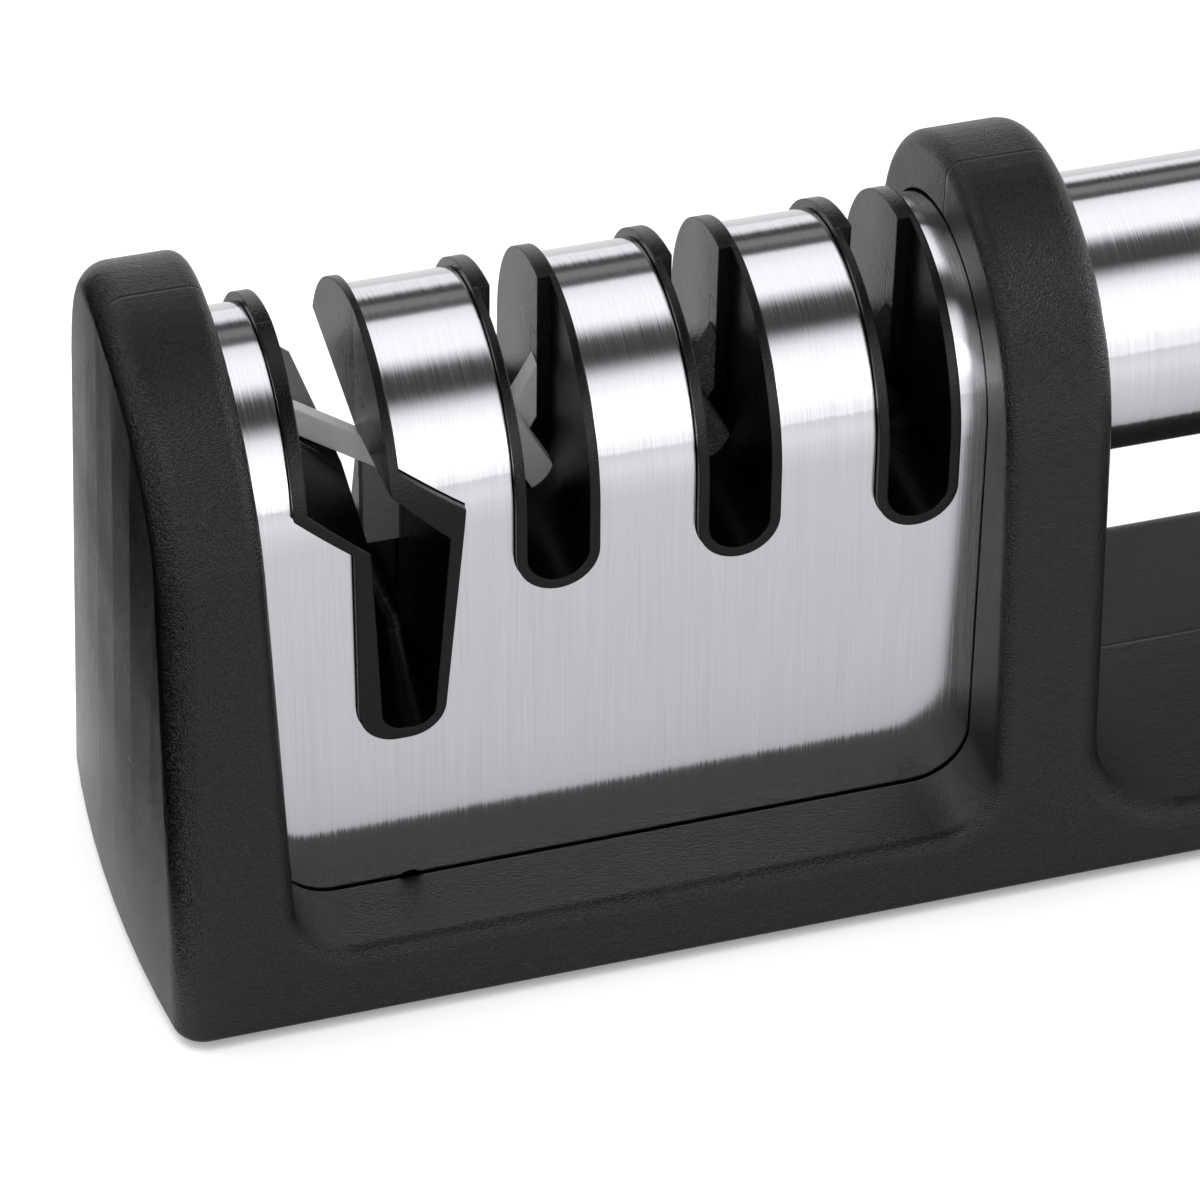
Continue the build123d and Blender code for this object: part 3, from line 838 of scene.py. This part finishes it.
class SHARPENER_OT_scissor_pieces(bpy.types.Operator):
    """Lay the bar and the plate of the scissors slot, with worn edges"""

    bl_idname = "sharpener.scissor_pieces"
    bl_label = "Scissors bar and plate"

    def execute(self, context):
        sizes = context.scene.sharpener_scissors
        low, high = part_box("scissor_plate")
        bar_low, bar_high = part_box("scissor_bar")
        step = sizes.bar_thickness * math.hypot(1.0, sizes.bar_slope)
        left, right = bar_low.x + BAR_INSET, high.x
        # The upper edge of the bar starts a little under the top of its holder
        top = bar_high.z - BAR_DROP
        foot = top - (right - left) * sizes.bar_slope
        bar = [(left, top), (left, top - step), (right, foot - step), (right, foot)]
        # The plate hangs from the lower edge of the bar
        plate_left = low.x - PLATE_REACH
        under = [top - (x - left) * sizes.bar_slope - step for x in (plate_left, right)]
        plate = [
            (plate_left, under[0]), (plate_left, sizes.plate_foot),
            (right, sizes.plate_foot), (right, under[1]),
        ]
        for node, outline, finish in (
            ("scissor_bar", bar, "white_ceramic"),
            ("scissor_plate", plate, "grey_ceramic"),
        ):
            material = slot_material(node)
            piece = cut_plate(node + "_worn", outline, low.y, high.y, sizes.edge, material)
            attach(piece, "root")
            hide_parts(node)
        return {"FINISHED"}


class SHARPENER_OT_screws(bpy.types.Operator):
    """Set cross-headed screws in the frame, the slot inserts and the underside"""

    bl_idname = "sharpener.screws"
    bl_label = "Screws"

    def execute(self, context):
        sizes = context.scene.sharpener_screws
        tree = screw_builder()
        # Node, turn from head up, axis that its heads face along, which end of it, height of a head
        to_rear, to_ground = (-math.pi / 2, 0.0, 0.0), (math.pi, 0.0, 0.0)
        for node, turn, axis, end, head in (
            ("frame_screws", to_rear, 1, 1, PAN_HEAD),
            ("insert_screws", to_rear, 1, 1, PAN_HEAD),
            ("base_screws", to_ground, 2, 0, SUNK_HEAD),
        ):
            solids = island_boxes(node)
            low, high = solids[0]
            across = high.x - low.x
            places = []
            for solid in solids:
                place = (solid[0] + solid[1]) / 2
                place[axis] = solid[end][axis]
                places.append(place)
            piece = grown(node + "_crossed", points_mesh(node + "_places", places), tree, {
                "Head Radius": across / 2, "Head Height": head,
                "Shank Radius": across / 2 * SHANK_SHARE, "Shank Length": high[axis] - low[axis],
                "Thread Pitch": sizes.thread_pitch, "Recess Width": sizes.recess_width,
                "Recess Depth": head * RECESS_SHARE, "Turn": turn,
                "Seed": sizes.seed, "Material": slot_material(node),
            })
            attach(piece, "root")
            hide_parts(node)
        return {"FINISHED"}


class SHARPENER_OT_feet(bpy.types.Operator):
    """Put ribbed rubber feet under the base"""

    bl_idname = "sharpener.feet"
    bl_label = "Feet"

    def execute(self, context):
        sizes = context.scene.sharpener_feet
        solids = island_boxes("rubber_feet")
        low, high = solids[0]
        places = [((low.x + high.x) / 2, (low.y + high.y) / 2, low.z) for low, high in solids]
        size = high - low
        piece = grown("ribbed_rubber_feet", points_mesh("foot_places", places), foot_builder(), {
            "Pad Length": size.x, "Pad Width": size.y, "Pad Height": size.z,
            "Rib Count": sizes.rib_count, "Rib Height": sizes.rib_height,
            "Material": slot_material("rubber_feet"),
        })
        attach(piece, "root")
        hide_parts("rubber_feet")
        return {"FINISHED"}


class SHARPENER_OT_grit(bpy.types.Operator):
    """Scatter diamond grains over the bars of the third slot"""

    bl_idname = "sharpener.grit"
    bl_label = "Grit"

    def execute(self, context):
        sizes = context.scene.sharpener_grit
        tree = grit_builder()
        for k, node in enumerate(("diamond_bar_left", "diamond_bar_right")):
            piece = grown(node + "_grains", nodes[node].data.copy(), tree, {
                "Density": sizes.density / MM ** 2, "Grain Radius": sizes.grain_radius,
                "Seed": sizes.seed + k, "Material": slot_material(node),
            })
            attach(piece, "root")
        return {"FINISHED"}


# Stage
def add_floor():
    floor = new_object("floor", square_mesh("floor", FLOOR_HALF))
    floor.location.z = -FLOOR_DROP
    material, tree, shader = new_material("white_floor")
    # Mirrored, the floor is a little darker close to the object by painted shadow, has a painted
    # lighter strip by the object's left end, and a painted dark reflection left of that
    seen = add_node(tree, "ShaderNodeLightPath").outputs["Is Glossy Ray"]
    spot = split(tree, object_place(tree))
    # Painted shadow: the mirrored floor grows darker close to the object's front
    painted_shade_and_light = mixed(tree, spread(tree, spot["Y"], *PAINTED_SHADE_Y), *map(grey, PAINTED_SHADE_GREYS))
    # Painted light: a lighter strip of mirrored floor by the object's left end
    painted_shade_and_light = mixed(tree, spread(tree, spot["X"], *PAINTED_LIGHT_X), painted_shade_and_light, grey(PAINTED_LIGHT_GREY))
    # Painted dark reflection: the mirrored floor goes dark left of that strip, a little lighter far
    # out
    painted_dark_reflection = mixed(tree, spread(tree, spot["X"], *DARK_REFLECTION_FAR_X), *map(grey, DARK_REFLECTION_GREYS))
    mirrored = mixed(tree, spread(tree, spot["X"], *DARK_REFLECTION_X), painted_shade_and_light, painted_dark_reflection)
    feed(tree, shader.inputs["Base Color"], mixed(tree, seen, grey(FLOOR_GREY), mirrored))
    # The camera sees the floor washed out, as in a packshot
    direct = add_node(tree, "ShaderNodeLightPath").outputs["Is Camera Ray"]
    feed(tree, shader.inputs["Emission Color"], grey(1.0))
    feed(tree, shader.inputs["Emission Strength"], maths(tree, "MULTIPLY", direct, FLOOR_GLOW))
    shader.inputs["Roughness"].default_value = 0.9
    shader.inputs["Specular IOR Level"].default_value = 0.0
    floor.data.materials.append(material)


def new_glow(thing, name):
    # Gives a thing a finish that only glows: its node tree and the glow itself
    material = bpy.data.materials.new(name)
    material.use_nodes = True
    tree = material.node_tree
    tree.nodes.clear()
    glow = add_node(tree, "ShaderNodeEmission")
    out = add_node(tree, "ShaderNodeOutputMaterial")
    tree.links.new(glow.outputs["Emission"], out.inputs["Surface"])
    thing.data.materials.append(material)
    return tree, glow


def add_tent(brightness):
    # White cloth round the length of the object, with the dark gaps that the steel mirrors
    mesh = bpy.data.meshes.new("light_tent")
    build = bmesh.new()
    turns = [-TENT_ARC + 2 * TENT_ARC * k / TENT_STEPS for k in range(TENT_STEPS + 1)]
    arc = [(-math.sin(math.radians(a)), math.cos(math.radians(a))) for a in turns]
    rows = [
        [build.verts.new((side, TENT_RADIUS * y, TENT_RADIUS * z)) for y, z in arc]
        for side in (-TENT_REACH, TENT_REACH)
    ]
    for k in range(TENT_STEPS):
        build.faces.new((rows[0][k], rows[0][k + 1], rows[1][k + 1], rows[1][k]))
    build.to_mesh(mesh)
    build.free()
    tent = new_object("light_tent", mesh)
    only_mirrored(tent)
    tree, glow = new_glow(tent, "tent_cloth")
    parts = split(tree, object_place(tree))
    # Angle from straight up towards the front, as a share of a whole turn with 0.5 at the top
    angle = maths(tree, "ARCTAN2", maths(tree, "MULTIPLY", parts["Y"], -1.0), parts["Z"])
    drift = spread(tree, parts["X"], *DRIFT_X, *(math.radians(end) for end in DRIFT_DEGREES))
    angle = maths(tree, "ADD", angle, drift)
    share = maths(tree, "ADD", maths(tree, "DIVIDE", angle, 2 * math.pi), 0.5)
    ramp = add_node(tree, "ShaderNodeValToRGB")
    elements = ramp.color_ramp.elements
    while len(elements) > 1:
        elements.remove(elements[-1])
    for k, (degrees, level) in enumerate(TENT_STOPS):
        spot = degrees / 360 + 0.5
        element = elements[0] if k == 0 else elements.new(spot)
        element.position = spot
        element.color = grey(level)
    feed(tree, ramp.inputs["Fac"], share)
    feed(tree, glow.inputs["Color"], ramp.outputs["Color"])
    feed(tree, glow.inputs["Strength"], brightness)


def add_softbox(name, place, target, brightness):
    # A bright card that only mirrored light finds
    half = CARD_SIZE / 2
    card = new_object(name, square_mesh(name, half))
    aim(card, place, target, "Z")
    only_mirrored(card)
    tree, glow = new_glow(card, name)
    # Brightest in the middle, so that its mirror image has no hard rim
    away = vector_maths(tree, "LENGTH", object_place(tree), result="Value")
    strength = spread(tree, away, half, half * CARD_CORE, 0.0, brightness)
    feed(tree, glow.inputs["Strength"], strength)


def add_area(name, place, target, size, power):
    # A soft lamp that the pieces do not mirror
    light = bpy.data.lights.new(name, "AREA")
    light.shape = "SQUARE"
    light.size = size
    light.energy = power
    lamp = new_object(name, light)
    aim(lamp, place, target, "-Z")
    lamp.visible_glossy = False


def add_world(strength):
    world = bpy.data.worlds.new("white_room")
    bpy.context.scene.world = world
    world.use_nodes = True
    tree = world.node_tree
    background = tree.nodes["Background"]
    # Past the ends of the tent the room that the pieces mirror is dim
    seen = add_node(tree, "ShaderNodeLightPath").outputs["Is Glossy Ray"]
    feed(tree, background.inputs["Color"], mixed(tree, seen, grey(1.0), grey(ROOM_GREY)))
    feed(tree, background.inputs["Strength"], strength)


def add_camera(view):
    azimuth, elevation, roll = (math.radians(a) for a in (view.azimuth, view.elevation, view.roll))
    level = math.cos(elevation)
    back = Vector((math.sin(azimuth) * level, -math.cos(azimuth) * level, math.sin(elevation)))
    right = Vector((math.cos(azimuth), math.sin(azimuth), 0.0))
    up = back.cross(right)
    turned_right = right * math.cos(roll) + up * math.sin(roll)
    turned_up = up * math.cos(roll) - right * math.sin(roll)
    data = bpy.data.cameras.new("photo_camera")
    data.sensor_width = 36.0
    data.lens = view.lens
    data.clip_start = 0.01
    data.clip_end = 100.0
    camera = new_object("photo_camera", data)
    camera.rotation_mode = "QUATERNION"
    axes = Matrix((turned_right, turned_up, back)).transposed()
    camera.rotation_quaternion = axes.to_quaternion()
    camera.location = view.position
    bpy.context.scene.camera = camera


class SHARPENER_OT_stage(bpy.types.Operator):
    """Set up floor, mirrored tent, lights, surroundings and camera"""

    bl_idname = "sharpener.stage"
    bl_label = "Stage"

    def execute(self, context):
        look = context.scene.sharpener_finish
        context.scene.view_settings.view_transform = "Standard"
        add_floor()
        add_tent(look.tent_brightness)
        add_world(look.backdrop)
        card = look.card_brightness
        add_softbox("left_card", place=(-1.25, -0.5, 0.4), target=(-0.1, 0, 0.04), brightness=card)
        add_softbox("right_card", place=(1.3, 0.05, 0.42), target=(0, 0, 0.05), brightness=card)
        add_area("key_light", place=(-0.3, 0.2, 1.6), target=(0, 0, 0.03), size=1.4, power=14.0)
        add_camera(context.scene.sharpener_camera)
        return {"FINISHED"}


class SHARPENER_PT_sidebar(bpy.types.Panel):
    bl_label = "Sharpener"
    bl_idname = "SHARPENER_PT_sidebar"
    bl_space_type = "VIEW_3D"
    bl_region_type = "UI"
    bl_category = "Sharpener"

    def draw(self, context):
        for group_name in GROUPS:
            group = getattr(context.scene, group_name)
            for name in group.bl_rna.properties.keys():
                if name not in ("rna_type", "name"):
                    self.layout.prop(group, name)
        for operator in OPERATORS:
            self.layout.operator(operator.bl_idname)


GROUPS = {
    "sharpener_finish": SharpenerFinish,
    "sharpener_screws": ScrewSizes,
    "sharpener_feet": FootSizes,
    "sharpener_grit": GritSizes,
    "sharpener_scissors": ScissorSizes,
    "sharpener_camera": PhotoCamera,
}
OPERATORS = (
    SHARPENER_OT_finishes,
    SHARPENER_OT_scissor_pieces,
    SHARPENER_OT_screws,
    SHARPENER_OT_feet,
    SHARPENER_OT_grit,
    SHARPENER_OT_stage,
)
CLASSES = (*GROUPS.values(), *OPERATORS, SHARPENER_PT_sidebar)


def register():
    for item in CLASSES:
        bpy.utils.register_class(item)
    for name, group in GROUPS.items():
        setattr(bpy.types.Scene, name, bpy.props.PointerProperty(type=group))


def unregister():
    for name in GROUPS:
        delattr(bpy.types.Scene, name)
    for item in reversed(CLASSES):
        bpy.utils.unregister_class(item)


def main():
    register()
    bpy.ops.sharpener.finishes()
    bpy.ops.sharpener.scissor_pieces()
    bpy.ops.sharpener.screws()
    bpy.ops.sharpener.feet()
    bpy.ops.sharpener.grit()
    bpy.ops.sharpener.stage()


if __name__ == "__main__":
    main()
